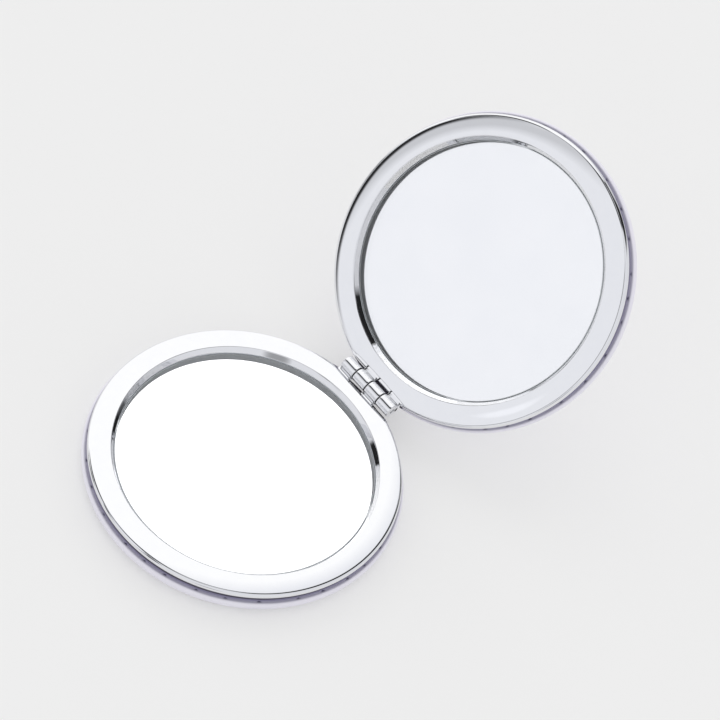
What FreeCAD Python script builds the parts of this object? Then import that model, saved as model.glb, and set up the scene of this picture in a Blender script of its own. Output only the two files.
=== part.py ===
import FreeCAD, Part
import math
import os

# Folding round compact with a mirror in each half, in millimetres and degrees.
# Origin: centre of the base's underside. +Z up, the hinge runs along X on the +Y side.

# Whole case
case_diameter = 70.0  # widest, across the padded cover
opening_angle = 133.0  # how far the lid stands open, 0 is shut
closing_gap = 0.4  # between the two bezels' faces when shut
cover_gap = 0.3  # between the two covers' edges when the lid lies flat, fully open

# Bezel: chromed tray with a broad rim
cover_overhang = 0.8  # how far the cover stands out past the bezel
edge_width = 0.7  # rounded outer edge of the rim, seen from above
face_width = 4.3  # polished face, from the lip to the outer edge
face_drop = 0.25  # the face is slightly crowned and falls by this much outwards
lip_width = 0.8  # sloped lip down to the glass, seen from above
lip_round = 0.25  # where the face turns down into the lip
flange_height = 1.3  # rim, from its face to its underside
flange_under_round = 0.2
tray_wall = 0.8
tray_floor = 0.6
tray_corner = 0.5

# Mirror
recess_depth = 1.3  # glass below the bezel's face
glass_thickness = 1.8
glass_clearance = 0.1
glass_bevel = 0.15  # ground edge
silver_thickness = 0.1  # silvering with its coat of paint
mirror_tape_thickness = 0.2
tape_margin = 1.5  # tapes stop this far inside the edge of what they hold

# Padded cover on a moulded backing shell
skin_thickness = 0.5
foam_thickness = 0.8  # under the shell's floor
foam_rim_width = 0.45  # foam left beside the shell's rim
cover_widest_height = 2.8  # above the underside
bead_radius = 0.75  # upper side of the cushion's full edge
bead_fillet = 0.2  # where the cushion's edge meets the upright band under the rim
shell_floor = 0.7
shell_wall = 1.2
shell_corner = 1.2
bond_tape_thickness = 0.2
tray_clearance = 0.15  # between the tray and the shell's ribs
rib_count = 12
rib_thickness = 0.8

# Magnet opposite the hinge
magnet_length = 8.0
magnet_width = 1.6
magnet_thickness = 1.5
magnet_clearance = 0.05
pocket_wall = 0.6

# Hinge
knuckle_count = 4
knuckle_pitch = 3.95
knuckle_gap = 0.15  # between neighbouring knuckles
knuckle_diameter = 3.3
knuckle_round = 0.25
knuckle_clearance = 0.6  # between a knuckle's barrel and the other half's rim
hinge_slope_width = 0.75  # rim sloped off along the hinge, from the grooves inwards
hinge_slope_drop = 0.14  # start of that slope below the rim's highest line
hinge_slope_fall = 26.0  # below level
lug_thickness = 0.85
lug_root = 0.6  # how far a lug runs into the solid rim
pin_diameter = 1.2
pin_clearance = 0.04
pin_recess = 0.2  # pin's ends inside the outer knuckles
pin_chamfer = 0.1

# Radii, from the case's edge inwards
case_radius = case_diameter / 2
bezel_radius = case_radius - cover_overhang
face_radius = bezel_radius - edge_width
opening_radius = face_radius - face_width
well_radius = opening_radius - lip_width
glass_radius = well_radius - glass_clearance
tray_radius = well_radius + tray_wall

# Heights of one half, from the underside up
foam_bottom = skin_thickness
shell_bottom = foam_bottom + foam_thickness
shell_floor_top = shell_bottom + shell_floor
tray_bottom = shell_floor_top + bond_tape_thickness
tray_floor_top = tray_bottom + tray_floor
silver_bottom = tray_floor_top + mirror_tape_thickness
glass_bottom = silver_bottom + silver_thickness
glass_top = glass_bottom + glass_thickness
face_height = glass_top + recess_depth
flange_bottom = face_height - flange_height
axis_height = face_height + closing_gap / 2
axis_offset = case_radius + cover_gap / 2

# Section of the cover's edge: a full cushion edge of two arcs, then an upright band up to the rim
cushion_centre = (case_radius - cover_widest_height, cover_widest_height)
bead_centre = (case_radius - bead_radius, cover_widest_height)
fillet_centre = (bead_centre[0], cover_widest_height + bead_radius + bead_fillet)
band_radius = fillet_centre[0] - bead_fillet
band_inner_radius = band_radius - skin_thickness
shell_top = flange_bottom - skin_thickness
shell_radius = band_inner_radius - foam_rim_width
shell_inner_radius = shell_radius - shell_wall

# Hinge line
knuckle_radius = knuckle_diameter / 2
knuckle_length = knuckle_pitch - knuckle_gap
hinge_length = knuckle_count * knuckle_pitch - knuckle_gap
groove_radius = knuckle_radius + knuckle_clearance
pin_radius = pin_diameter / 2

X_AXIS = FreeCAD.Vector(1, 0, 0)
Y_AXIS = FreeCAD.Vector(0, 1, 0)
Z_AXIS = FreeCAD.Vector(0, 0, 1)
HINGE_POINT = FreeCAD.Vector(0, axis_offset, axis_height)
SAME_POINT = 1e-6  # points closer than this are one


def on_circle(centre, radius, degrees):
    """Point of a section, on a circle about a centre."""
    angle = math.radians(degrees)
    return (centre[0] + radius * math.cos(angle), centre[1] + radius * math.sin(angle))


def turned(*runs):
    """Solid turned about Z from a closed section of (radius, height) points and arcs.

    An arc is (centre, radius, first angle, last angle); straight edges join what stands apart.
    """
    edges = []
    ends = []
    for run in runs:
        corners = [run]
        if len(run) == 4:
            centre, radius, first, last = run
            corners = [on_circle(centre, radius, a) for a in (first, (first + last) / 2, last)]
            edges.append(Part.Arc(*[FreeCAD.Vector(r, 0, z) for r, z in corners]).toShape())
        ends.append((corners[0], corners[-1]))
    for (_, leaves), (arrives, _) in zip(ends, ends[1:] + ends[:1]):
        if math.dist(leaves, arrives) > SAME_POINT:
            corners = [FreeCAD.Vector(r, 0, z) for r, z in (leaves, arrives)]
            edges.append(Part.LineSegment(*corners).toShape())
    wire = Part.Wire(Part.__sortEdges__(edges))
    return Part.Face(wire).revolve(FreeCAD.Vector(0, 0, 0), Z_AXIS, 360)


def disc(radius, bottom, top):
    """Plain round plate about Z."""
    return Part.makeCylinder(radius, top - bottom, FreeCAD.Vector(0, 0, bottom))


def block(x_range, y_range, z_range):
    """Box between two corners."""
    lows, highs = zip(x_range, y_range, z_range)
    sides = [high - low for low, high in zip(lows, highs)]
    return Part.makeBox(*sides, FreeCAD.Vector(*lows))


def along_hinge(radius, x_start, length):
    """Cylinder on the hinge line."""
    return Part.makeCylinder(radius, length, FreeCAD.Vector(x_start, axis_offset, axis_height), X_AXIS)


def round_edges(shape):
    """Full-circle edges of a cylinder."""
    return [edge for edge in shape.Edges if isinstance(edge.Curve, Part.Circle)]


def knuckle_start(index):
    """Where a knuckle begins along X, counted from the -X end of the hinge."""
    return index * knuckle_pitch - hinge_length / 2


def bezel(knuckles):
    """Tray with crowned rim, sloped lip and hinge knuckles; knuckles is a list of (start, bore).

    The rim is sloped off along the hinge. The other half's knuckles stand at the mirrored places, and the
    rim is grooved round them.
    """
    lip_fall = math.degrees(math.atan2(recess_depth, lip_width))
    crown_start = opening_radius + lip_round * math.tan(math.radians(lip_fall / 2))
    crown_width = face_radius - crown_start
    crown_radius = (crown_width**2 + face_drop**2) / (2 * face_drop)
    crown_end = math.degrees(math.acos(crown_width / crown_radius))
    edge_round = edge_width / (1 - math.cos(math.radians(crown_end)))
    edge_drop = edge_round * math.sin(math.radians(crown_end))
    edge_centre = (bezel_radius - edge_round, face_height - face_drop - edge_drop)
    under_round = min(flange_under_round, 0.9 * (edge_centre[1] - flange_bottom))
    under_centre = (bezel_radius - under_round, flange_bottom + under_round)
    corner_centre = (tray_radius - tray_corner, tray_bottom + tray_corner)
    tray = turned(
        (0, tray_bottom),
        (corner_centre, tray_corner, 270, 360),
        (tray_radius, flange_bottom),
        (under_centre, under_round, 270, 360),
        (edge_centre, edge_round, 0, crown_end),
        ((crown_start, face_height - crown_radius), crown_radius, crown_end, 90),
        ((crown_start, face_height - lip_round), lip_round, 90, 90 + lip_fall),
        (well_radius, glass_top),
        (well_radius, tray_floor_top),
        (0, tray_floor_top),
    )
    slope_start = axis_offset - groove_radius - hinge_slope_width
    slope_top = face_height - hinge_slope_drop
    off_cut = block(
        (-hinge_length, hinge_length),
        (opening_radius, case_radius),
        (slope_top, slope_top + flange_height),
    )
    off_cut.rotate(FreeCAD.Vector(0, slope_start, slope_top), X_AXIS, -hinge_slope_fall)
    tray = tray.cut(off_cut)
    groove_length = knuckle_length + 2 * knuckle_gap
    for start, _ in knuckles:
        tray = tray.cut(along_hinge(groove_radius, -start - knuckle_length - knuckle_gap, groove_length))
    lug_inner = axis_offset - groove_radius - lug_root
    lug_heights = (flange_bottom, flange_bottom + lug_thickness)
    for start, _ in knuckles:
        barrel = along_hinge(knuckle_radius, start, knuckle_length)
        barrel = barrel.makeFillet(knuckle_round, round_edges(barrel))
        lug = block((start, start + knuckle_length), (lug_inner, axis_offset), lug_heights)
        tray = tray.fuse([barrel, lug])
    for start, bore_radius in knuckles:
        tray = tray.cut(along_hinge(bore_radius, start, knuckle_length))
    return tray.removeSplitter()


def mirror_glass():
    """Round plate with its front edge ground to a small bevel."""
    return turned(
        (0, glass_bottom),
        (glass_radius, glass_bottom),
        (glass_radius, glass_top - glass_bevel),
        (glass_radius - glass_bevel, glass_top),
        (0, glass_top),
    )


def cover_skin():
    """Soft skin: flat underside, full cushion edge, upright band, tucked in under the rim."""
    return turned(
        (0, 0),
        (cushion_centre, cover_widest_height, 270, 360),
        (bead_centre, bead_radius, 0, 90),
        (fillet_centre, bead_fillet, 270, 180),
        (band_radius, flange_bottom),
        (shell_inner_radius, flange_bottom),
        (shell_inner_radius, shell_top),
        (band_inner_radius, shell_top),
        (fillet_centre, bead_fillet + skin_thickness, 180, 270),
        (bead_centre, bead_radius - skin_thickness, 90, 0),
        (cushion_centre, cover_widest_height - skin_thickness, 360, 270),
        (0, foam_bottom),
    )


def shell_corner_arc(first, last):
    """Arc of the shell's lower outer corner."""
    return ((shell_radius - shell_corner, shell_bottom + shell_corner), shell_corner, first, last)


def foam_pad():
    """Foam between the skin and the backing shell."""
    return turned(
        (0, foam_bottom),
        (cushion_centre, cover_widest_height - skin_thickness, 270, 360),
        (bead_centre, bead_radius - skin_thickness, 0, 90),
        (fillet_centre, bead_fillet + skin_thickness, 270, 180),
        (band_inner_radius, shell_top),
        (shell_radius, shell_top),
        shell_corner_arc(360, 270),
        (0, shell_bottom),
    )


def magnet_box(clearance):
    """Space of the bar magnet under the rim, opposite the hinge."""
    half_length = magnet_length / 2 + clearance
    half_width = magnet_width / 2 + clearance
    middle = -(tray_radius + tray_clearance + shell_inner_radius) / 2
    return block(
        (-half_length, half_length),
        (middle - half_width, middle + half_width),
        (flange_bottom - magnet_thickness - clearance, flange_bottom),
    )


def backing_shell():
    """Moulded dish with radial ribs that carry the rim, and a pocket for the magnet."""
    dish = turned(
        (0, shell_bottom),
        shell_corner_arc(270, 360),
        (shell_radius, shell_top),
        (shell_inner_radius, shell_top),
        (shell_inner_radius, shell_floor_top),
        (0, shell_floor_top),
    )
    rib_inner = tray_radius + tray_clearance
    wall_middle = shell_inner_radius + shell_wall / 2
    ring = disc(wall_middle, shell_floor_top, flange_bottom).cut(disc(rib_inner, 0, face_height))
    over_wall = disc(case_radius, shell_top, face_height).cut(disc(shell_inner_radius, 0, face_height))
    ribs = []
    for index in range(rib_count):
        rib = block(
            (rib_inner - rib_thickness, wall_middle),
            (-rib_thickness / 2, rib_thickness / 2),
            (shell_floor_top, flange_bottom),
        )
        rib.rotate(FreeCAD.Vector(0, 0, 0), Z_AXIS, (index + 0.5) * 360 / rib_count)
        ribs.append(rib)
    pocket_half = magnet_length / 2 + magnet_clearance + pocket_wall
    ribs.append(block((-pocket_half, pocket_half), (-case_radius, 0), (shell_floor_top, flange_bottom)))
    carried = ring.common(ribs[0].multiFuse(ribs[1:])).cut(over_wall)
    return dish.fuse(carried).cut(magnet_box(magnet_clearance)).removeSplitter()


def half(knuckles):
    """All pieces of one half of the compact, lying face up."""
    return {
        "bezel": bezel(knuckles),
        "mirror_glass": mirror_glass(),
        "mirror_silver": disc(glass_radius, silver_bottom, glass_bottom),
        "mirror_tape": disc(glass_radius - tape_margin, tray_floor_top, silver_bottom),
        "backing_shell": backing_shell(),
        "foam_pad": foam_pad(),
        "cover_skin": cover_skin(),
        "bond_tape": disc(tray_radius - tape_margin, shell_floor_top, tray_bottom),
        "magnet": magnet_box(0),
    }


def hinge_pin():
    """Straight pin, pressed into the first knuckle and free in the others."""
    length = hinge_length - 2 * pin_recess
    pin = along_hinge(pin_radius, -length / 2, length)
    return pin.makeChamfer(pin_chamfer, round_edges(pin))


running_bore = pin_radius + pin_clearance
base_knuckles = []
lid_knuckles = []
for number in range(knuckle_count):
    if number % 2 == 0:
        bore = pin_radius if number == 0 else running_bore
        base_knuckles.append((knuckle_start(number), bore))
    else:
        lid_knuckles.append((-knuckle_start(number) - knuckle_length, running_bore))

pieces = {"hinge_pin": hinge_pin()}
for piece, shape in half(base_knuckles).items():
    pieces["base_" + piece] = shape
# The lid is the same half turned over face down, then swung open about the hinge line
for piece, shape in half(lid_knuckles).items():
    shape.rotate(FreeCAD.Vector(0, 0, axis_height), Y_AXIS, 180)
    shape.rotate(HINGE_POINT, X_AXIS, -opening_angle)
    pieces["lid_" + piece] = shape

os.makedirs("parts", exist_ok=True)
for node, shape in pieces.items():
    shape.exportStep("parts/" + node + ".step")
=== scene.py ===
import math

import bpy
import numpy as np
from mathutils import Matrix, Vector


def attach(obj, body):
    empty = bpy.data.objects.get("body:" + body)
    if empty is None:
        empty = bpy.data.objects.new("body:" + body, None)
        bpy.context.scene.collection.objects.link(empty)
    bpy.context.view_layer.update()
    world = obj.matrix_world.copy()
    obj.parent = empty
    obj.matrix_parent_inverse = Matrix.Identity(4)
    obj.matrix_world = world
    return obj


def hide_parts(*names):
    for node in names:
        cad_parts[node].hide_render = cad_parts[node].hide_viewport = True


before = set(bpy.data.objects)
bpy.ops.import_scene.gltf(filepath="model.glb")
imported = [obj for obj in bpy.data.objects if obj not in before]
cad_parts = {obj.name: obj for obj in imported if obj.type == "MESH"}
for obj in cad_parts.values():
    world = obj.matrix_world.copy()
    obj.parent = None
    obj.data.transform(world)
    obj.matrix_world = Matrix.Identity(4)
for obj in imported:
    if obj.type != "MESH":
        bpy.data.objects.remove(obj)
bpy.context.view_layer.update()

# Backing shells
# The moulded plastic cup inside each half, with stiffening ribs and a magnet pocket. The soft cover is
# drawn over it and the chromed tray is taped into it. It keeps its CAD shape.


def finish_named(name):
    """New material; returns it with its node tree and its shader."""
    material = bpy.data.materials.new(name)
    material.use_nodes = True
    return material, material.node_tree, material.node_tree.nodes["Principled BSDF"]


def add(tree, kind, sockets=None, **settings):
    """Adds a node; a socket's entry is a number, a colour, or the output that feeds it."""
    made = tree.nodes.new(kind)
    for key, value in settings.items():
        setattr(made, key, value)
    for key, value in (sockets or {}).items():
        if isinstance(value, bpy.types.NodeSocket):
            tree.links.new(value, made.inputs[key])
        else:
            made.inputs[key].default_value = value
    return made


def graded(tree, factor, *stops):
    """Colour ramp fed by a factor; each stop is (position, colour)."""
    node = add(tree, "ShaderNodeValToRGB", {"Fac": factor})
    ramp = node.color_ramp
    while len(ramp.elements) < len(stops):
        ramp.elements.new(0.5)
    for element, (position, colour) in zip(ramp.elements, stops):
        element.position = position
        element.color = (*colour, 1.0)
    return node.outputs["Color"]


def ranged(tree, value, low, high, to_low, to_high):
    """Value mapped from one range to another."""
    sockets = {"Value": value, "From Min": low, "From Max": high, "To Min": to_low, "To Max": to_high}
    return add(tree, "ShaderNodeMapRange", sockets).outputs["Result"]


def dressed(node_name, finish):
    """Gives a CAD node its finish."""
    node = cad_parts[node_name]
    node.data.materials.clear()
    node.data.materials.append(finish)


shell_plastic, tree, shader = finish_named("moulded_shell_plastic")
place = add(tree, "ShaderNodeTexCoord").outputs["Object"]
flow = add(tree, "ShaderNodeTexNoise", {"Vector": place, "Scale": 240.0, "Detail": 3.0})
spark = add(tree, "ShaderNodeTexNoise", {"Vector": place, "Scale": 4200.0, "Detail": 2.0})
tint = graded(tree, flow.outputs["Fac"], (0.3, (0.62, 0.62, 0.61)), (0.7, (0.70, 0.70, 0.69)))
tree.links.new(tint, shader.inputs["Base Color"])
tree.links.new(ranged(tree, spark.outputs["Fac"], 0.3, 0.7, 0.38, 0.52), shader.inputs["Roughness"])
eroded = add(tree, "ShaderNodeBump", {"Height": spark.outputs["Fac"], "Strength": 0.4, "Distance": 0.00003})
tree.links.new(eroded.outputs["Normal"], shader.inputs["Normal"])
dressed("base_backing_shell", shell_plastic)
dressed("lid_backing_shell", shell_plastic)

# Magnets
# A nickel-plated bar magnet lies in each shell's pocket, opposite the hinge, and keeps the halves shut.
# It keeps its CAD shape.
nickel, tree, shader = finish_named("nickel_magnet_plating")
place = add(tree, "ShaderNodeTexCoord").outputs["Object"]
tumble = add(tree, "ShaderNodeTexNoise", {"Vector": place, "Scale": 2200.0, "Detail": 4.0})
tint = graded(tree, tumble.outputs["Fac"], (0.3, (0.58, 0.56, 0.52)), (0.7, (0.68, 0.66, 0.61)))
tree.links.new(tint, shader.inputs["Base Color"])
tree.links.new(ranged(tree, tumble.outputs["Fac"], 0.3, 0.7, 0.16, 0.32), shader.inputs["Roughness"])
dent = add(tree, "ShaderNodeBump", {"Height": tumble.outputs["Fac"], "Strength": 0.3, "Distance": 0.00002})
tree.links.new(dent.outputs["Normal"], shader.inputs["Normal"])
shader.inputs["Metallic"].default_value = 1.0
dressed("base_magnet", nickel)
dressed("lid_magnet", nickel)

# Foam pads
# White foam between the backing shell and the skin: thin under the floor, thicker round the edge, where it
# gives the cover its full round bead. It is closed in on all sides.
MM = 0.001
hinge_y = 35.15
hinge_z = 6.4
lid_opening = math.radians(133.0)
cover_radius = 35.0
widest_height = 2.8
flat_radius = 20.0
cushion_rise = 0.35
cushion_radius = widest_height - cushion_rise
cushion_centre = (cover_radius - cushion_radius, widest_height)
swell_run = cushion_centre[0] - flat_radius
swell_angle = 2 * math.degrees(math.atan2(cushion_rise, swell_run))
swell_radius = cushion_radius + swell_run / math.sin(math.radians(swell_angle))
swell_centre = (flat_radius, swell_radius)
bead_radius = 0.75
bead_centre = (cover_radius - bead_radius, widest_height)
skin_thickness = 0.5
foam_clearance = 0.02
foam_band_radius = 33.43
foam_band_foot = 3.6
foam_top = 4.36
shell_corner_centre = (31.9, 2.5)
shell_corner_radius = 1.22
shell_underside = 1.28
middle_radius = 1.0
round_turn = np.linspace(0, 2 * np.pi, 360, endpoint=False)


def arc(centre, radius, first, last, count):
    """Points of a section on a circle: centre plus radius times cosine and sine of evenly spaced angles."""
    angle = np.radians(np.linspace(first, last, count))
    return np.stack([centre[0] + radius * np.cos(angle), centre[1] + radius * np.sin(angle)], axis=1)


def run(start, end, count):
    """Points of a section evenly spaced along a straight line, without its last point."""
    step = np.linspace(0.0, 1.0, count, endpoint=False)[:, None]
    return np.asarray(start) * (1 - step) + np.asarray(end) * step


def turned_about_axis(section, angle):
    """Carries a section of (radius, height) round Z.

    x and y are the radius times cosine and sine of the angle. The angle is one row of columns, or a grid with
    its own row for each point of the section.
    """
    radius = section[:, 0][:, None]
    height = section[:, 1][:, None]
    angle = np.broadcast_to(angle, (len(section), np.shape(angle)[-1]))
    return np.stack([radius * np.cos(angle), radius * np.sin(angle), height + 0 * angle], axis=2)


def swung_open(points):
    """Lid place of points of a half: turned over, then swung back about the hinge line.

    Turned over means that x and the height above the hinge line change their signs. The swing is a plane
    rotation of y and z about the hinge line by the opening angle.
    """
    over = points * np.array([-1.0, 1.0, -1.0]) + np.array([0.0, -hinge_y, hinge_z])
    c, s = math.cos(lid_opening), math.sin(lid_opening)
    y = over[..., 1] * c + over[..., 2] * s + hinge_y
    z = -over[..., 1] * s + over[..., 2] * c + hinge_z
    return np.stack([over[..., 0], y, z], axis=-1)


def grid_faces(rows, columns, ring, first):
    """Quads between neighbouring rows and columns of a grid; a ring joins the last row to the first."""
    row = np.arange(rows if ring else rows - 1)[:, None]
    column = np.arange(columns)[None, :]
    next_row = (row + 1) % rows
    next_column = (column + 1) % columns
    corners = [row * columns + column, row * columns + next_column,
               next_row * columns + next_column, next_row * columns + column]
    return first + np.stack(np.broadcast_arrays(*corners), axis=-1).reshape(-1, 4)


def fan_faces(row_start, columns, middle, forward):
    """Triangles from one end row of a grid to a point in its middle."""
    here = row_start + np.arange(columns)
    there = row_start + (np.arange(columns) + 1) % columns
    order = (here, there) if forward else (there, here)
    return np.stack([*order, np.full(columns, middle)], axis=1)


def made_piece(name, shells, body, finishes, finish_rows=None, marks=None, sharp=32.0):
    """One mesh object from closed shells in millimetres.

    A shell is a grid of points, rows along its section and columns round it, and whether the section is a
    ring. Where it isn't, its first and last rows are closed with fans. finish_rows gives the finish number
    of each row of faces, and marks gives each named attribute's grid of values; both are for a single open
    shell.
    """
    points = []
    faces = []
    count = 0
    for grid, ring in shells:
        rows, columns = grid.shape[:2]
        points.append(grid.reshape(-1, 3))
        faces += grid_faces(rows, columns, ring, count).tolist()
        start = count
        count += rows * columns
        if not ring:
            points.append(np.stack([grid[0].mean(axis=0), grid[-1].mean(axis=0)]))
            faces += fan_faces(start, columns, count, False).tolist()
            faces += fan_faces(start + (rows - 1) * columns, columns, count + 1, True).tolist()
            count += 2
    points = np.concatenate(points)
    if body == "lid":
        points = swung_open(points)
    mesh = bpy.data.meshes.new(name)
    mesh.from_pydata((points * MM).tolist(), [], faces)
    mesh.polygons.foreach_set("use_smooth", np.ones(len(faces), dtype=bool))
    for finish in finishes:
        mesh.materials.append(finish)
    if finish_rows is not None:
        number = np.concatenate([np.repeat(finish_rows, columns), np.zeros(2 * columns)])
        mesh.polygons.foreach_set("material_index", number.astype(np.int32))
    for label, values in (marks or {}).items():
        mark = mesh.attributes.new(label, "FLOAT", "POINT")
        mark.data.foreach_set("value", np.concatenate([values.ravel(), [0.0, 0.0]]).astype(np.float32))
    mesh.set_sharp_from_angle(angle=math.radians(sharp))
    mesh.update()
    piece = bpy.data.objects.new(name, mesh)
    bpy.context.scene.collection.objects.link(piece)
    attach(piece, body)
    return piece


def cushion_lining(depth):
    """Section under the skin at a depth: flat middle, gentle swell, round edge and the bead's small round."""
    return np.concatenate([
        run((middle_radius, depth), (flat_radius, depth), 4),
        arc(swell_centre, swell_radius - depth, 270, 270 + swell_angle, 8)[:-1],
        arc(cushion_centre, cushion_radius - depth, 270 + swell_angle, 360, 12)[:-1],
        arc(bead_centre, bead_radius - depth, 0, 90, 5),
    ])


def foam_grid():
    """Foam turned about Z: the skin's inside on one face, the backing shell's outside on the other."""
    section = np.concatenate([
        cushion_lining(skin_thickness + foam_clearance),
        [(foam_band_radius, foam_band_foot), (foam_band_radius, foam_top)],
        [(shell_corner_centre[0] + shell_corner_radius, foam_top)],
        arc(shell_corner_centre, shell_corner_radius, 360, 270, 8),
        run((shell_corner_centre[0], shell_underside), (middle_radius, shell_underside), 8)[1:],
        [(middle_radius, shell_underside)],
    ])
    return turned_about_axis(section, round_turn)


foam_white, tree, shader = finish_named("cushion_foam")
place = add(tree, "ShaderNodeTexCoord").outputs["Object"]
cells = add(tree, "ShaderNodeTexVoronoi", {"Vector": place, "Scale": 1500.0})
tint = graded(tree, cells.outputs["Distance"], (0.0, (0.55, 0.54, 0.50)), (0.6, (0.82, 0.81, 0.77)))
tree.links.new(tint, shader.inputs["Base Color"])
tree.links.new(ranged(tree, cells.outputs["Distance"], 0.0, 0.7, 0.95, 0.8), shader.inputs["Roughness"])
open_cells = add(tree, "ShaderNodeBump", {"Height": cells.outputs["Distance"], "Strength": 0.8,
                                          "Distance": 0.0002})
tree.links.new(open_cells.outputs["Normal"], shader.inputs["Normal"])
for body in ("base", "lid"):
    foam = made_piece(body + "_cushion_foam", [(foam_grid(), False)], body, [foam_white])
    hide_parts(body + "_foam_pad")

# Cover skins
# A pale lilac soft skin of fine-grained coated cloth is drawn over the foam into a full bead, pulled in to
# an upright band under the chrome rim and turned in there, where it lies in about thirty small gathers.
# Its colour holds painted shade: darker up the band, near black where it turns in and under the hinge,
# and dark in the gathers.
skin_columns = np.linspace(0, 2 * np.pi, 768, endpoint=False)
gather_count = 32
gather_half_width = 0.38
gather_radius = 34.22
gather_height = 3.55
gather_reach = 0.20
gather_push = 0.30
gather_shade = 1.5
bead_swell = 0.05
bead_swell_height = 3.2
bead_swell_reach = 0.5
band_radius = 33.85
band_foot = 3.80
band_fillet = 0.25
band_inner_radius = 33.45
band_inner_foot = 3.6
rim_underside = 4.9
tuck_clearance = 0.01
tuck_top = rim_underside - tuck_clearance
tuck_underside = 4.4
tuck_inner_radius = 31.9
# Heights over which the band's painted shade deepens, and the step and half width of the painted shade under
# the hinge.
shade_steps = ((3.40, 3.65), (3.80, 4.10))
hinge_shade_step = (2.9, 3.4)
hinge_shade_half = 8.1

lilac, tree, shader = finish_named("pale_lilac_skin")
place = add(tree, "ShaderNodeTexCoord").outputs["Object"]
pebble = add(tree, "ShaderNodeTexVoronoi", {"Vector": place, "Scale": 2100.0}, feature="SMOOTH_F1")
crease = add(tree, "ShaderNodeTexNoise", {"Vector": place, "Scale": 900.0, "Detail": 4.0, "Roughness": 0.6})
mottle = add(tree, "ShaderNodeTexNoise", {"Vector": place, "Scale": 130.0, "Detail": 3.0})
# Painted shade in the colour: the tuck mark darkens the skin up the band, to near black where it turns in and
# under the hinge.
painted_tuck_shade = add(tree, "ShaderNodeAttribute", attribute_name="tuck").outputs["Fac"]
painted_fold_shade = add(tree, "ShaderNodeAttribute", attribute_name="gather").outputs["Fac"]
pale = graded(tree, mottle.outputs["Fac"], (0.3, (0.83, 0.812, 0.905)), (0.7, (0.862, 0.848, 0.925)))
shade = graded(tree, painted_tuck_shade, (0.0, (1.0, 1.0, 1.0)), (0.5, (0.29, 0.277, 0.385)),
               (0.75, (0.21, 0.20, 0.27)), (1.0, (0.045, 0.04, 0.06)))
with_tuck_shade = add(tree, "ShaderNodeMix", {"Factor": 1.0, "A": pale, "B": shade},
             data_type="RGBA", blend_type="MULTIPLY").outputs["Result"]
# Painted shade in the gathers: the skin goes dark violet in each fold.
with_fold_shade = add(tree, "ShaderNodeMix", {"Factor": painted_fold_shade, "A": with_tuck_shade, "B": (0.06, 0.055, 0.11, 1.0)},
             data_type="RGBA").outputs["Result"]
tree.links.new(with_fold_shade, shader.inputs["Base Color"])
tree.links.new(ranged(tree, crease.outputs["Fac"], 0.3, 0.7, 0.42, 0.58), shader.inputs["Roughness"])
fine = add(tree, "ShaderNodeBump", {"Height": pebble.outputs["Distance"], "Strength": 0.35,
                                    "Distance": 0.00006})
soft = add(tree, "ShaderNodeBump", {"Height": crease.outputs["Fac"], "Strength": 0.3, "Distance": 0.00008,
                                    "Normal": fine.outputs["Normal"]})
tree.links.new(soft.outputs["Normal"], shader.inputs["Normal"])
shader.inputs["Sheen Weight"].default_value = 0.15


def gather_bells(angle):
    """How far the skin is gathered at each angle: a sum of narrow bells, one at each gather.

    The gathers stand a little off their even places and differ a little in strength, by fixed sine waves.
    """
    number = np.arange(gather_count)
    wander = 0.16 * np.sin(5.3 * number) + 0.1 * np.sin(2.1 * number + 1.0)
    at = (number + wander) * 2 * np.pi / gather_count
    strength = 0.85 + 0.15 * np.sin(3.7 * number + 0.6)
    away = np.angle(np.exp(1j * (angle[:, None] - at[None, :])))
    return (strength * np.exp(-((away * band_radius / gather_half_width) ** 2))).sum(axis=1)


def smooth_step(value, low, high):
    """0 below low and 1 above high, with a smooth step between.

    The step is three times the square less twice the cube of the part of the way.
    """
    part = np.clip((value - low) / (high - low), 0.0, 1.0)
    return part * part * (3 - 2 * part)


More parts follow.
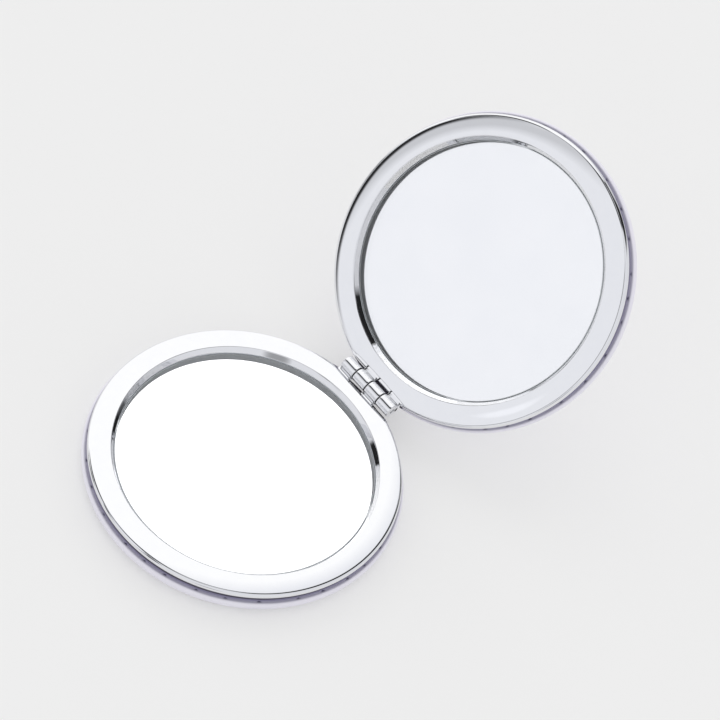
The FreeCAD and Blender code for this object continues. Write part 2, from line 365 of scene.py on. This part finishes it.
def skin_grid():
    """Skin turned about Z: crowned underside, round edge, bead, band and tuck, then the inside.

    On top of the bead the gathers push it in towards the axis: the push is a bell about that place of the
    section times the bells round the edge. The bead swells a little between them. Returns the grid and its
    two marks of painted shade: tuck, darker up the band, near black where the skin turns in and under the
    hinge, and gather, dark in the gathers.
    """
    bead_top = widest_height + bead_radius
    outside = np.concatenate([
        run((middle_radius, 0.0), (flat_radius, 0.0), 8),
        arc(swell_centre, swell_radius, 270, 270 + swell_angle, 14)[:-1],
        arc(cushion_centre, cushion_radius, 270 + swell_angle, 360, 24)[:-1],
        arc(bead_centre, bead_radius, 0, 90, 16)[:-1],
        run((bead_centre[0], bead_top), (band_radius + band_fillet, bead_top), 2),
        arc((band_radius + band_fillet, band_foot), band_fillet, 270, 180, 8)[:-1],
        run((band_radius, band_foot), (band_radius, tuck_top), 14),
    ])
    turned_in = np.concatenate([
        run((band_radius, tuck_top), (tuck_inner_radius, tuck_top), 4),
        [(tuck_inner_radius, tuck_top)],
    ])
    inside = np.concatenate([
        [(tuck_inner_radius, tuck_underside), (band_inner_radius, tuck_underside)],
        [(band_inner_radius, band_inner_foot)],
        cushion_lining(skin_thickness)[::-1],
    ])
    section = np.concatenate([outside, turned_in, inside])
    height = outside[:, 1]
    upper = outside[:, 0] > band_radius - 0.01
    bells = gather_bells(skin_columns)[None, :]
    away = np.hypot(outside[:, 0] - gather_radius, height - gather_height)
    bell_up = np.where(upper, np.exp(-((away / gather_reach) ** 2)), 0.0)[:, None]
    swelling = np.exp(-(((height - bead_swell_height) / bead_swell_reach) ** 2))
    swelling = np.where(upper, swelling, 0.0)[:, None]
    pinch = np.zeros((len(section), len(skin_columns)))
    pinch[:len(outside)] = bell_up * bells
    grid = turned_about_axis(section, skin_columns)
    outward = np.stack([np.cos(skin_columns), np.sin(skin_columns), 0 * skin_columns], axis=1)
    push = -gather_push * pinch
    push[:len(outside)] -= bead_swell * swelling * bells
    grid += push[..., None] * outward[None]
    tuck = np.zeros_like(pinch)
    # Painted shade: darker up the band, and under the hinge.
    band_shade = sum(0.5 * smooth_step(height, *step) for step in shade_steps)
    shown = grid[:len(outside)]
    by_hinge = (np.abs(shown[..., 0]) < hinge_shade_half) & (shown[..., 1] > 0)
    hinge_shade = by_hinge * smooth_step(height, *hinge_shade_step)[:, None]
    tuck[:len(outside)] = np.where(upper[:, None], np.maximum(band_shade[:, None], hinge_shade), 0.0)
    # Painted shade: the rows turned in under the rim go near black.
    tuck[len(outside):len(outside) + len(turned_in)] = 1.0
    # The gather mark is painted shade in the folds; gather_shade scales it.
    return grid, {"tuck": tuck, "gather": np.clip(gather_shade * pinch, 0.0, 1.0)}


for body in ("base", "lid"):
    grid, marks = skin_grid()
    skin = made_piece(body + "_lilac_skin", [(grid, False)], body, [lilac],
                      marks=marks, sharp=60.0)
    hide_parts(body + "_cover_skin")

# Mounting tapes
# Two thin double-sided tapes in each half: one holds the chromed tray in the backing shell, the other holds
# the mirror in the tray. They keep their CAD shapes.
tape_film, tree, shader = finish_named("mounting_tape")
place = add(tree, "ShaderNodeTexCoord").outputs["Object"]
fibre = add(tree, "ShaderNodeTexNoise", {"Vector": place, "Scale": 1400.0, "Detail": 5.0, "Roughness": 0.7})
tint = graded(tree, fibre.outputs["Fac"], (0.35, (0.66, 0.63, 0.52)), (0.65, (0.80, 0.78, 0.70)))
tree.links.new(tint, shader.inputs["Base Color"])
tree.links.new(ranged(tree, fibre.outputs["Fac"], 0.3, 0.7, 0.3, 0.6), shader.inputs["Roughness"])
fleece = add(tree, "ShaderNodeBump", {"Height": fibre.outputs["Fac"], "Strength": 0.5, "Distance": 0.00005})
tree.links.new(fleece.outputs["Normal"], shader.inputs["Normal"])
for body in ("base", "lid"):
    dressed(body + "_bond_tape", tape_film)
    dressed(body + "_mirror_tape", tape_film)

# Chrome bezels
# Each half has a thin pressed tray with a broad crowned rim, a sloped lip that holds the mirror, and two
# hinge knuckles on lugs, all bright chrome plate. The lid's bezel is the same pressing as the base's.
tray_bottom = 2.2
tray_floor_top = 2.8
tray_radius = 29.2
tray_corner = 0.5
tray_middle = 2.0
rim_round = 0.2
bezel_radius = 34.2
face_radius = 33.5
opening_radius = 29.2
well_radius = 28.4
glass_top = 4.9
face_height = 6.2
face_drop = 0.25
lip_round = 0.25
groove_radius = 2.25
groove_ranges = ((-4.025, 0.075), (3.875, 7.975))
hinge_slope_start = 32.15
hinge_slope_top = 6.06
hinge_slope_fall = math.radians(26.0)
hinge_slope_soft = 0.03
hinge_half_span = 9.2
groove_end_step = 0.008
knuckle_pitch = 3.95
knuckle_radius = 1.65
knuckle_length = 3.8
knuckle_bore = 0.64
knuckle_round = 0.15
knuckle_columns = 112
bore_round = 0.06
knuckle_starts = (-7.825, 0.075)
gap_half_width = (0.17, 0.13)
gap_depth = (1.9, 1.7)
lug_inner = 32.3
lug_outer = hinge_y - 0.15
lug_top = 5.75
lug_round = 0.1

chrome, tree, shader = finish_named("bright_chrome_plate")
place = add(tree, "ShaderNodeTexCoord").outputs["Object"]
ripple = add(tree, "ShaderNodeTexNoise", {"Vector": place, "Scale": 170.0, "Detail": 1.0})
polish = add(tree, "ShaderNodeTexNoise", {"Vector": place, "Scale": 2600.0, "Detail": 3.0,
                                          "Roughness": 0.6})
haze = add(tree, "ShaderNodeTexNoise", {"Vector": place, "Scale": 420.0, "Detail": 4.0, "Roughness": 0.65})
tint = graded(tree, haze.outputs["Fac"], (0.3, (0.825, 0.83, 0.85)), (0.7, (0.84, 0.845, 0.862)))
# Painted shade: the plate goes near black in the gaps between the knuckles, near the hinge line.
along_hinge = add(tree, "ShaderNodeSeparateXYZ", {"Vector": place}).outputs["X"]
from_gap = add(tree, "ShaderNodeMath", {0: along_hinge, 1: knuckle_pitch / 2 * MM},
               operation="PINGPONG").outputs["Value"]
in_gap = ranged(tree, from_gap, gap_half_width[0] * MM, gap_half_width[1] * MM, 0.0, 1.0)
between_ends = add(tree, "ShaderNodeMath", {0: along_hinge, 1: 0.0, 2: 1.5 * knuckle_pitch * MM},
                   operation="COMPARE").outputs["Value"]
across_hinge = add(tree, "ShaderNodeVectorMath", {0: place, 1: (0.0, 1.0, 1.0)},
                   operation="MULTIPLY").outputs["Vector"]
hinge_line = (0.0, hinge_y * MM, hinge_z * MM)
from_hinge = add(tree, "ShaderNodeVectorMath", {0: across_hinge, 1: hinge_line},
                 operation="DISTANCE").outputs["Value"]
near_hinge = ranged(tree, from_hinge, gap_depth[0] * MM, gap_depth[1] * MM, 0.0, 1.0)
gap_shade = add(tree, "ShaderNodeMath", {0: in_gap, 1: between_ends}, operation="MULTIPLY").outputs["Value"]
gap_shade = add(tree, "ShaderNodeMath", {0: gap_shade, 1: near_hinge}, operation="MULTIPLY").outputs["Value"]
tint = add(tree, "ShaderNodeMix", {"Factor": gap_shade, "A": tint, "B": (0.03, 0.03, 0.034, 1.0)},
           data_type="RGBA").outputs["Result"]
tree.links.new(tint, shader.inputs["Base Color"])
tree.links.new(ranged(tree, polish.outputs["Fac"], 0.35, 0.7, 0.02, 0.04), shader.inputs["Roughness"])
wave = add(tree, "ShaderNodeBump", {"Height": ripple.outputs["Fac"], "Strength": 1.0, "Distance": 0.000004})
grain = add(tree, "ShaderNodeBump", {"Height": polish.outputs["Fac"], "Strength": 0.25,
                                     "Distance": 0.0000002, "Normal": wave.outputs["Normal"]})
tree.links.new(grain.outputs["Normal"], shader.inputs["Normal"])
shader.inputs["Metallic"].default_value = 1.0


def rim_columns():
    """Angles from the hinge direction, fine across the hinge and even elsewhere.

    Across the hinge an angle is the arc sine of an evenly spaced x over the opening's radius.
    """
    columns_per_mm = 7
    rest_columns = 500
    ends = [-hinge_half_span, *groove_ranges[0], *groove_ranges[1], hinge_half_span]
    near = np.concatenate([
        np.linspace(low + groove_end_step, high - groove_end_step,
                    max(4, round((high - low) * columns_per_mm)))
        for low, high in zip(ends[:-1], ends[1:])
    ])
    near_angle = np.arcsin(near / opening_radius)
    rest = np.linspace(near_angle[-1], 2 * np.pi + near_angle[0], rest_columns)[1:-1]
    return np.concatenate([near_angle, rest])


def soft_least(first, second, width):
    """Lesser of two values, rounded over where they cross within a width.

    Both are mixed by a share that grows with their difference, less the width times the share times one
    minus the share.
    """
    share = np.clip(0.5 + 0.5 * (second - first) / width, 0.0, 1.0)
    return second * (1 - share) + first * share - width * share * (1 - share)


def rim_grid():
    """Bezel turned about Z, sloped off along the hinge and grooved round the other half's knuckles.

    Near the hinge the columns run straight, at one x, so that the grooves' ends are clean. The slope lowers
    points to a tilted plane where they stand above it. Points inside a groove's cylinder move back along Y
    to its surface: y is the hinge's y less the root of the groove radius squared less the height above the
    hinge line squared.
    """
    lip_fall = math.degrees(math.atan2(face_height - glass_top, opening_radius - well_radius))
    crown_start = opening_radius + lip_round * math.tan(math.radians(lip_fall / 2))
    crown_width = face_radius - crown_start
    crown_radius = (crown_width**2 + face_drop**2) / (2 * face_drop)
    crown_centre = (crown_start, face_height - crown_radius)
    crown_end = math.degrees(math.acos(crown_width / crown_radius))
    edge = (bezel_radius - face_radius) / (1 - math.cos(math.radians(crown_end)))
    edge_centre = (bezel_radius - edge, face_height - face_drop - edge * math.sin(math.radians(crown_end)))
    lip_end = (crown_start + lip_round * math.cos(math.radians(90 + lip_fall)),
               face_height - lip_round + lip_round * math.sin(math.radians(90 + lip_fall)))
    finer_from = 86.2
    corner_centre = (tray_radius - tray_corner, tray_bottom + tray_corner)
    under_centre = (bezel_radius - rim_round, rim_underside + rim_round)
    section = np.concatenate([
        run((tray_middle, tray_bottom), (corner_centre[0], tray_bottom), 5),
        arc(corner_centre, tray_corner, 270, 360, 6),
        run((tray_radius, corner_centre[1] + tray_corner), (tray_radius, rim_underside), 3),
        run((tray_radius, rim_underside), (under_centre[0], rim_underside), 8),
        arc(under_centre, rim_round, 270, 350, 6),
        arc(edge_centre, edge, 0, crown_end, 36)[:-1],
        arc(crown_centre, crown_radius, crown_end, finer_from, 24)[:-1],
        arc(crown_centre, crown_radius, finer_from, 90, 10)[:-1],
        arc((crown_start, face_height - lip_round), lip_round, 90, 90 + lip_fall, 12)[:-1],
        run(lip_end, (well_radius, glass_top), 6),
        run((well_radius, glass_top), (well_radius, tray_floor_top), 4),
        run((well_radius, tray_floor_top), (tray_middle, tray_floor_top), 6),
        [(tray_middle, tray_floor_top)],
    ])
    columns = rim_columns()
    x_there = opening_radius * np.sin(columns)
    straight_to = math.radians(32.0)
    blend = math.radians(12.0)
    straight = np.clip((straight_to - np.abs(columns)) / blend, 0.0, 1.0)
    reach = np.maximum(section[:, 0], opening_radius)[:, None]
    bent = np.arcsin(np.clip(x_there / reach, -1.0, 1.0))
    offset = np.where(straight > 0, straight * bent + (1 - straight) * columns, columns)
    grid = turned_about_axis(section, np.pi / 2 - offset)
    plane = hinge_slope_top - (grid[..., 1] - hinge_slope_start) * math.tan(hinge_slope_fall)
    on_rim = (section[:, 0] > opening_radius)[:, None] & (grid[..., 1] > opening_radius)
    grid[..., 2] = np.where(on_rim, soft_least(grid[..., 2], plane, hinge_slope_soft), grid[..., 2])
    inside = groove_radius**2 - (grid[..., 2] - hinge_z) ** 2
    limit = hinge_y - np.sqrt(np.maximum(inside, 0.0))
    x = grid[..., 0]
    in_range = np.any([(x > low) & (x < high) for low, high in groove_ranges], axis=0)
    in_groove = (inside > 0) & in_range & (grid[..., 1] > limit)
    grid[..., 1] = np.where(in_groove, limit, grid[..., 1])
    return grid[:, ::-1]


def knuckle_grid(start):
    """Barrel turned about the hinge line: a section of (x, radius) with rounded ends and a bore.

    y and z are the hinge line's plus the radius times cosine and sine of the turn.
    """
    end = start + knuckle_length
    shoulder = knuckle_radius - knuckle_round
    mouth = knuckle_bore + bore_round
    along = np.concatenate([
        arc((start + knuckle_round, shoulder), knuckle_round, 180, 90, 7),
        run((start + knuckle_round, knuckle_radius), (end - knuckle_round, knuckle_radius), 8)[1:],
        arc((end - knuckle_round, shoulder), knuckle_round, 90, 0, 7),
        arc((end - bore_round, mouth), bore_round, 0, -90, 4),
        run((end - bore_round, knuckle_bore), (start + bore_round, knuckle_bore), 4)[1:],
        arc((start + bore_round, mouth), bore_round, -90, -180, 4),
    ])
    turn = np.linspace(0, 2 * np.pi, knuckle_columns, endpoint=False)
    x = along[:, 0][:, None] + 0 * turn
    radius = along[:, 1][:, None]
    return np.stack([x, hinge_y + radius * np.cos(turn), hinge_z + radius * np.sin(turn)], axis=2)


def lug_grid(start):
    """Lug from the rim to its knuckle: a rounded flat section in Y and Z carried along X.

    It is drawn in a little at its ends: the section shrinks towards its middle there.
    """
    low = rim_underside
    section = np.concatenate([
        arc((lug_inner + lug_round, low + lug_round), lug_round, 180, 270, 4),
        arc((lug_outer - lug_round, low + lug_round), lug_round, 270, 360, 4),
        arc((lug_outer - lug_round, lug_top - lug_round), lug_round, 0, 90, 4),
        arc((lug_inner + lug_round, lug_top - lug_round), lug_round, 90, 180, 4),
    ])
    end = start + knuckle_length
    from_end = np.array([0.0, 0.01, 0.04, 1.2])
    drawn_in = np.array([0.04, 0.01, 0.0, 0.0])
    x = np.concatenate([start + from_end, end - from_end[::-1]])
    draw = np.concatenate([drawn_in, drawn_in[::-1]])[:, None, None]
    middle = np.array([(lug_inner + lug_outer) / 2, (low + lug_top) / 2])
    half = np.array([(lug_outer - lug_inner) / 2, (lug_top - low) / 2])
    flat = middle + (section - middle)[None] * (1 - draw / half)
    return np.stack([x[:, None] + np.zeros(len(section)), flat[..., 0], flat[..., 1]], axis=2)


for body in ("base", "lid"):
    shells = [(rim_grid(), False)]
    for start in knuckle_starts:
        shells.append((knuckle_grid(start), True))
        shells.append((lug_grid(start), False))
    bezel = made_piece(body + "_chrome_bezel", shells, body, [chrome])
    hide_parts(body + "_bezel")

# Mirrors
# A round plate of float glass with a ground edge lies in each tray. Its back is silvered and painted,
# so what is seen in it is reflected at the bottom of the glass. The ground edge is painted light in the
# base and painted shade in the lid; both upper bevels take the painted light.
glass_radius = 28.3
glass_bottom = 3.1
ground_bevel = 0.15
silver_bottom = 3.0
silver_gap = 0.01
under_break = 0.02

glass, tree, shader = finish_named("float_glass")
place = add(tree, "ShaderNodeTexCoord").outputs["Object"]
smudge = add(tree, "ShaderNodeTexNoise", {"Vector": place, "Scale": 95.0, "Detail": 5.0, "Roughness": 0.6})
tint = graded(tree, smudge.outputs["Fac"], (0.3, (0.98, 0.983, 0.988)), (0.7, (0.992, 0.993, 0.996)))
tree.links.new(tint, shader.inputs["Base Color"])
tree.links.new(ranged(tree, smudge.outputs["Fac"], 0.35, 0.75, 0.0, 0.012), shader.inputs["Roughness"])
shader.inputs["IOR"].default_value = 1.52
shader.inputs["Transmission Weight"].default_value = 1.0


def ground_edge(name, dull, bright):
    """Frosted finish of a glass plate's ground edge, between a dull and a bright tone."""
    material, tree, shader = finish_named(name)
    place = add(tree, "ShaderNodeTexCoord").outputs["Object"]
    frost = add(tree, "ShaderNodeTexNoise", {"Vector": place, "Scale": 3500.0, "Detail": 4.0})
    tint = graded(tree, frost.outputs["Fac"], (0.3, dull), (0.75, bright))
    tree.links.new(tint, shader.inputs["Base Color"])
    tree.links.new(ranged(tree, frost.outputs["Fac"], 0.3, 0.7, 0.45, 0.75), shader.inputs["Roughness"])
    rough = add(tree, "ShaderNodeBump", {"Height": frost.outputs["Fac"], "Strength": 0.6,
                                         "Distance": 0.00003})
    tree.links.new(rough.outputs["Normal"], shader.inputs["Normal"])
    return material


# The base's edge is painted light and the lid's is painted shade.
ground = {
    "base": ground_edge("ground_glass_edge_painted_light", (0.70, 0.74, 0.77), (0.88, 0.90, 0.92)),
    "lid": ground_edge("ground_glass_edge_painted_shade", (0.10, 0.11, 0.12), (0.22, 0.235, 0.25)),
}

silvering, tree, shader = finish_named("mirror_silvering")
place = add(tree, "ShaderNodeTexCoord").outputs["Object"]
cloud = add(tree, "ShaderNodeTexNoise", {"Vector": place, "Scale": 60.0, "Detail": 3.0})
tint = graded(tree, cloud.outputs["Fac"], (0.3, (0.955, 0.958, 0.965)), (0.7, (0.97, 0.972, 0.976)))
tree.links.new(tint, shader.inputs["Base Color"])
tree.links.new(ranged(tree, cloud.outputs["Fac"], 0.3, 0.7, 0.0, 0.01), shader.inputs["Roughness"])
shader.inputs["Metallic"].default_value = 1.0


def plate_grid(radius, bottom, top, bevel):
    """Round plate turned about Z from its underside to its top, with a small bevel at both edges.

    Returns the grid and, for each row of faces, 0 on a flat face, 1 on the edge and 2 on the upper bevel.
    """
    under = run((middle_radius, bottom), (radius - under_break, bottom), 6)
    edge = np.array([(radius - under_break, bottom), (radius, bottom + under_break),
                     (radius, (bottom + top) / 2), (radius, top - bevel), (radius - bevel, top)])
    over = np.concatenate([run((radius - bevel, top), (middle_radius, top), 6)[1:], [(middle_radius, top)]])
    edge_rows = np.concatenate([np.zeros(len(under)), np.ones(len(edge) - 2), [2.0], np.zeros(len(over))])
    return turned_about_axis(np.concatenate([under, edge, over]), round_turn), edge_rows


for body in ("base", "lid"):
    grid, edge_rows = plate_grid(glass_radius, glass_bottom, glass_top, ground_bevel)
    finishes = [glass, ground[body], ground["base"]]
    plate = made_piece(body + "_mirror_plate", [(grid, False)], body, finishes, edge_rows)
    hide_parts(body + "_mirror_glass")
    grid, _ = plate_grid(glass_radius, silver_bottom, glass_bottom - silver_gap, silver_gap)
    coat = made_piece(body + "_silvered_back", [(grid, False)], body, [silvering])
    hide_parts(body + "_mirror_silver")

# Hinge pin
# A drawn steel pin that runs through the four knuckles, its ends just inside the outer two.
# It keeps its CAD shape.
pin_steel, tree, shader = finish_named("drawn_pin_steel")
place = add(tree, "ShaderNodeTexCoord").outputs["Object"]
drawn = add(tree, "ShaderNodeMapping", {"Vector": place, "Scale": (120.0, 5200.0, 5200.0)})
streak = add(tree, "ShaderNodeTexNoise", {"Vector": drawn.outputs["Vector"], "Scale": 1.0, "Detail": 3.0})
tint = graded(tree, streak.outputs["Fac"], (0.3, (0.42, 0.42, 0.43)), (0.7, (0.58, 0.58, 0.59)))
tree.links.new(tint, shader.inputs["Base Color"])
tree.links.new(ranged(tree, streak.outputs["Fac"], 0.3, 0.7, 0.22, 0.38), shader.inputs["Roughness"])
groove = add(tree, "ShaderNodeBump", {"Height": streak.outputs["Fac"], "Strength": 0.5,
                                      "Distance": 0.00001})
tree.links.new(groove.outputs["Normal"], shader.inputs["Normal"])
shader.inputs["Metallic"].default_value = 1.0
dressed("hinge_pin", pin_steel)

# Table
# A matt pale table top under the compact, wide enough to fill the view from any side.
table_half = 12.0
table_points = 9
table_level = 0.855
table_glow = 0.4
table_paint, tree, shader = finish_named("matt_table_paint")
place = add(tree, "ShaderNodeTexCoord").outputs["Object"]
felt = add(tree, "ShaderNodeTexNoise", {"Vector": place, "Scale": 30.0, "Detail": 2.0})
tint = graded(tree, felt.outputs["Fac"], (0.3, (0.90, 0.90, 0.90)), (0.7, (0.905, 0.905, 0.905)))
tree.links.new(tint, shader.inputs["Base Color"])
shader.inputs["Roughness"].default_value = 0.9
shader.inputs["Specular IOR Level"].default_value = 0.1


def looked_at(tree):
    """1 for rays from the camera, from metal or through glass, and 0 for those that carry light."""
    ray = add(tree, "ShaderNodeLightPath").outputs
    shiny = add(tree, "ShaderNodeMath", {0: ray["Is Glossy Ray"], 1: ray["Is Transmission Ray"]},
                operation="MAXIMUM").outputs["Value"]
    both = add(tree, "ShaderNodeMath", {0: ray["Is Camera Ray"], 1: shiny}, operation="MAXIMUM")
    return both.outputs["Value"]


glow = add(tree, "ShaderNodeEmission", {"Strength": table_level})
share = ranged(tree, looked_at(tree), 0.0, 1.0, 0.0, table_glow)
lifted = add(tree, "ShaderNodeMixShader", {0: share, 1: shader.outputs["BSDF"],
                                           2: glow.outputs["Emission"]})
tree.links.new(lifted.outputs["Shader"], tree.nodes["Material Output"].inputs["Surface"])
table_paint.cycles.emission_sampling = "NONE"
mesh = bpy.data.meshes.new("table_top")
across = np.linspace(-table_half, table_half, table_points)
table_x, table_y = np.meshgrid(across, across, indexing="ij")
row, column = np.meshgrid(np.arange(table_points - 1), np.arange(table_points - 1), indexing="ij")
first = (row * table_points + column).ravel()
points = np.stack([table_x.ravel(), table_y.ravel(), np.zeros(table_points**2)], axis=1)
faces = np.stack([first, first + table_points, first + table_points + 1, first + 1], axis=1)
mesh.from_pydata(points.tolist(), [], faces.tolist())
mesh.materials.append(table_paint)
table = bpy.data.objects.new("table_top", mesh)
bpy.context.scene.collection.objects.link(table)

# Light and camera
# A tent with a big soft box far left, a panel in front and dark cards beside both, which chrome and mirrors
# show, a plain light for the rest, a broad weak sun, and a camera that looks down from the front right.
world = bpy.data.worlds.new("light_tent")
world.use_nodes = True
tree = world.node_tree
bpy.context.scene.world = world
toward = add(tree, "ShaderNodeTexCoord").outputs["Generated"]


def leaning(direction):
    """Cosine of the angle between a direction and where the tent is looked at."""
    unit = Vector(direction).normalized()
    return add(tree, "ShaderNodeVectorMath", {0: toward, 1: unit}, operation="DOT_PRODUCT").outputs["Value"]


def eased(value, low, high):
    """0 below low and 1 above high, with a smooth step between."""
    sockets = {"Value": value, "From Min": low, "From Max": high}
    return add(tree, "ShaderNodeMapRange", sockets, interpolation_type="SMOOTHSTEP").outputs["Result"]


def disc_of(direction, radius, soft):
    """1 within an angle of a direction and 0 beyond it, with an edge some degrees wide."""
    low = math.cos(math.radians(radius + soft / 2))
    high = math.cos(math.radians(radius - soft / 2))
    return eased(leaning(direction), low, high)


def shaded(below, above, share):
    """From one level to another by a share."""
    sockets = {"Factor": share, "A": below, "B": above}
    return add(tree, "ShaderNodeMix", sockets, data_type="FLOAT").outputs["Result"]


soft_box = (-0.782, 0.321, 0.534)
front_panel = (-0.300, -0.819, 0.488)
panel_top = (-0.27, -0.66, 0.70)
panel_shade = (-0.80, 0.496, 0.335)
panel_spot = (-0.198, -0.866, 0.437)
corner_card = (-0.67, -0.30, 0.68)
west_card = (-0.89, -0.44, 0.11)
right_card = (0.60, -0.78, 0.19)
overhead = (0.0, 0.0, 1.0)
card_level = 0.025
dim_level = 0.10
grey_level = 0.40
top_level = 0.55
back_level = 0.70
room_level = 0.85
front_level = 0.88
spot_level = 1.10
fill_level = 0.85
backward = leaning((0.0, 1.0, 0.0))
rightward = leaning((1.0, 0.0, 0.0))
boxward = leaning(soft_box)
box_rim = math.cos(math.radians(46.0))
room_back = ranged(tree, boxward, 0.22, 0.10, card_level, room_level)
panel_level = ranged(tree, leaning(panel_shade), 0.105, 0.18, 0.97, 0.71)
box_level = ranged(tree, boxward, box_rim, math.cos(math.radians(37.0)), 0.98, 1.18)
right_of_panel = shaded(0.0, disc_of(front_panel, 23.0, 4.0), eased(rightward, -0.25, -0.05))
left_of_panel = shaded(0.0, disc_of(front_panel, 20.5, 2.0), eased(rightward, -0.40, -0.54))
box_frame = shaded(0.0, disc_of(soft_box, 69.0, 4.0), eased(backward, -0.58, -0.42))
back_wall = shaded(0.0, eased(backward, 0.58, 0.78), eased(rightward, 0.15, 0.0))
level = shaded(front_level, room_back, eased(backward, -0.15, 0.35))
for patch_level, patch in (
    (dim_level, right_of_panel),
    (grey_level, disc_of(right_card, 7.0, 9.0)),
    (card_level, box_frame),
    (back_level, back_wall),
    (top_level, disc_of(overhead, 9.0, 6.0)),
    (card_level, left_of_panel),
    (card_level, disc_of(west_card, 12.0, 5.0)),
    (panel_level, disc_of(panel_top, 9.0, 2.0)),
    (panel_level, disc_of(front_panel, 14.9, 2.0)),
    (spot_level, disc_of(panel_spot, 1.7, 2.4)),
    (box_level, disc_of(soft_box, 47.0, 2.0)),
    (card_level, disc_of(corner_card, 12.5, 4.0)),
):
    level = shaded(level, patch_level, patch)
background = tree.nodes["Background"]
looked = looked_at(tree)
tree.links.new(shaded(fill_level, level, looked), background.inputs["Strength"])
warm_share = eased(boxward, box_rim, math.cos(math.radians(36.0)))
colour = graded(tree, shaded(1.0, warm_share, looked), (0.0, (0.955, 0.965, 1.0)), (1.0, (1.0, 1.0, 1.0)))
tree.links.new(colour, background.inputs["Color"])

sun_from = Vector((-0.55, 0.45, 0.70))
lamp = bpy.data.lights.new("broad_far_sun", "SUN")
lamp.energy = 0.45
lamp.angle = math.radians(60.0)
far_sun = bpy.data.objects.new("broad_far_sun", lamp)
far_sun.rotation_euler = (-sun_from).to_track_quat("-Z", "Y").to_euler()
far_sun.visible_glossy = False
far_sun.visible_camera = False
bpy.context.scene.collection.objects.link(far_sun)

azimuth = math.radians(33.07)
elevation = math.radians(52.31)
roll = math.radians(20.37)
aim = Vector((-0.00525, 0.03614, 0.00925))
distance = 0.86939
lens = bpy.data.cameras.new("photo_camera")
lens.lens = 200.0
lens.sensor_width = 36.0
lens.clip_start = 0.05
lens.clip_end = 50.0
camera = bpy.data.objects.new("photo_camera", lens)
level_share = math.cos(elevation)
back = Vector((math.sin(azimuth) * level_share, -math.cos(azimuth) * level_share, math.sin(elevation)))
camera.location = aim + back * distance
turned = (-back).to_track_quat("-Z", "Y").to_matrix() @ Matrix.Rotation(roll, 3, "Z")
camera.rotation_euler = turned.to_euler()
bpy.context.scene.collection.objects.link(camera)
bpy.context.scene.camera = camera
bpy.context.scene.view_settings.view_transform = "Standard"
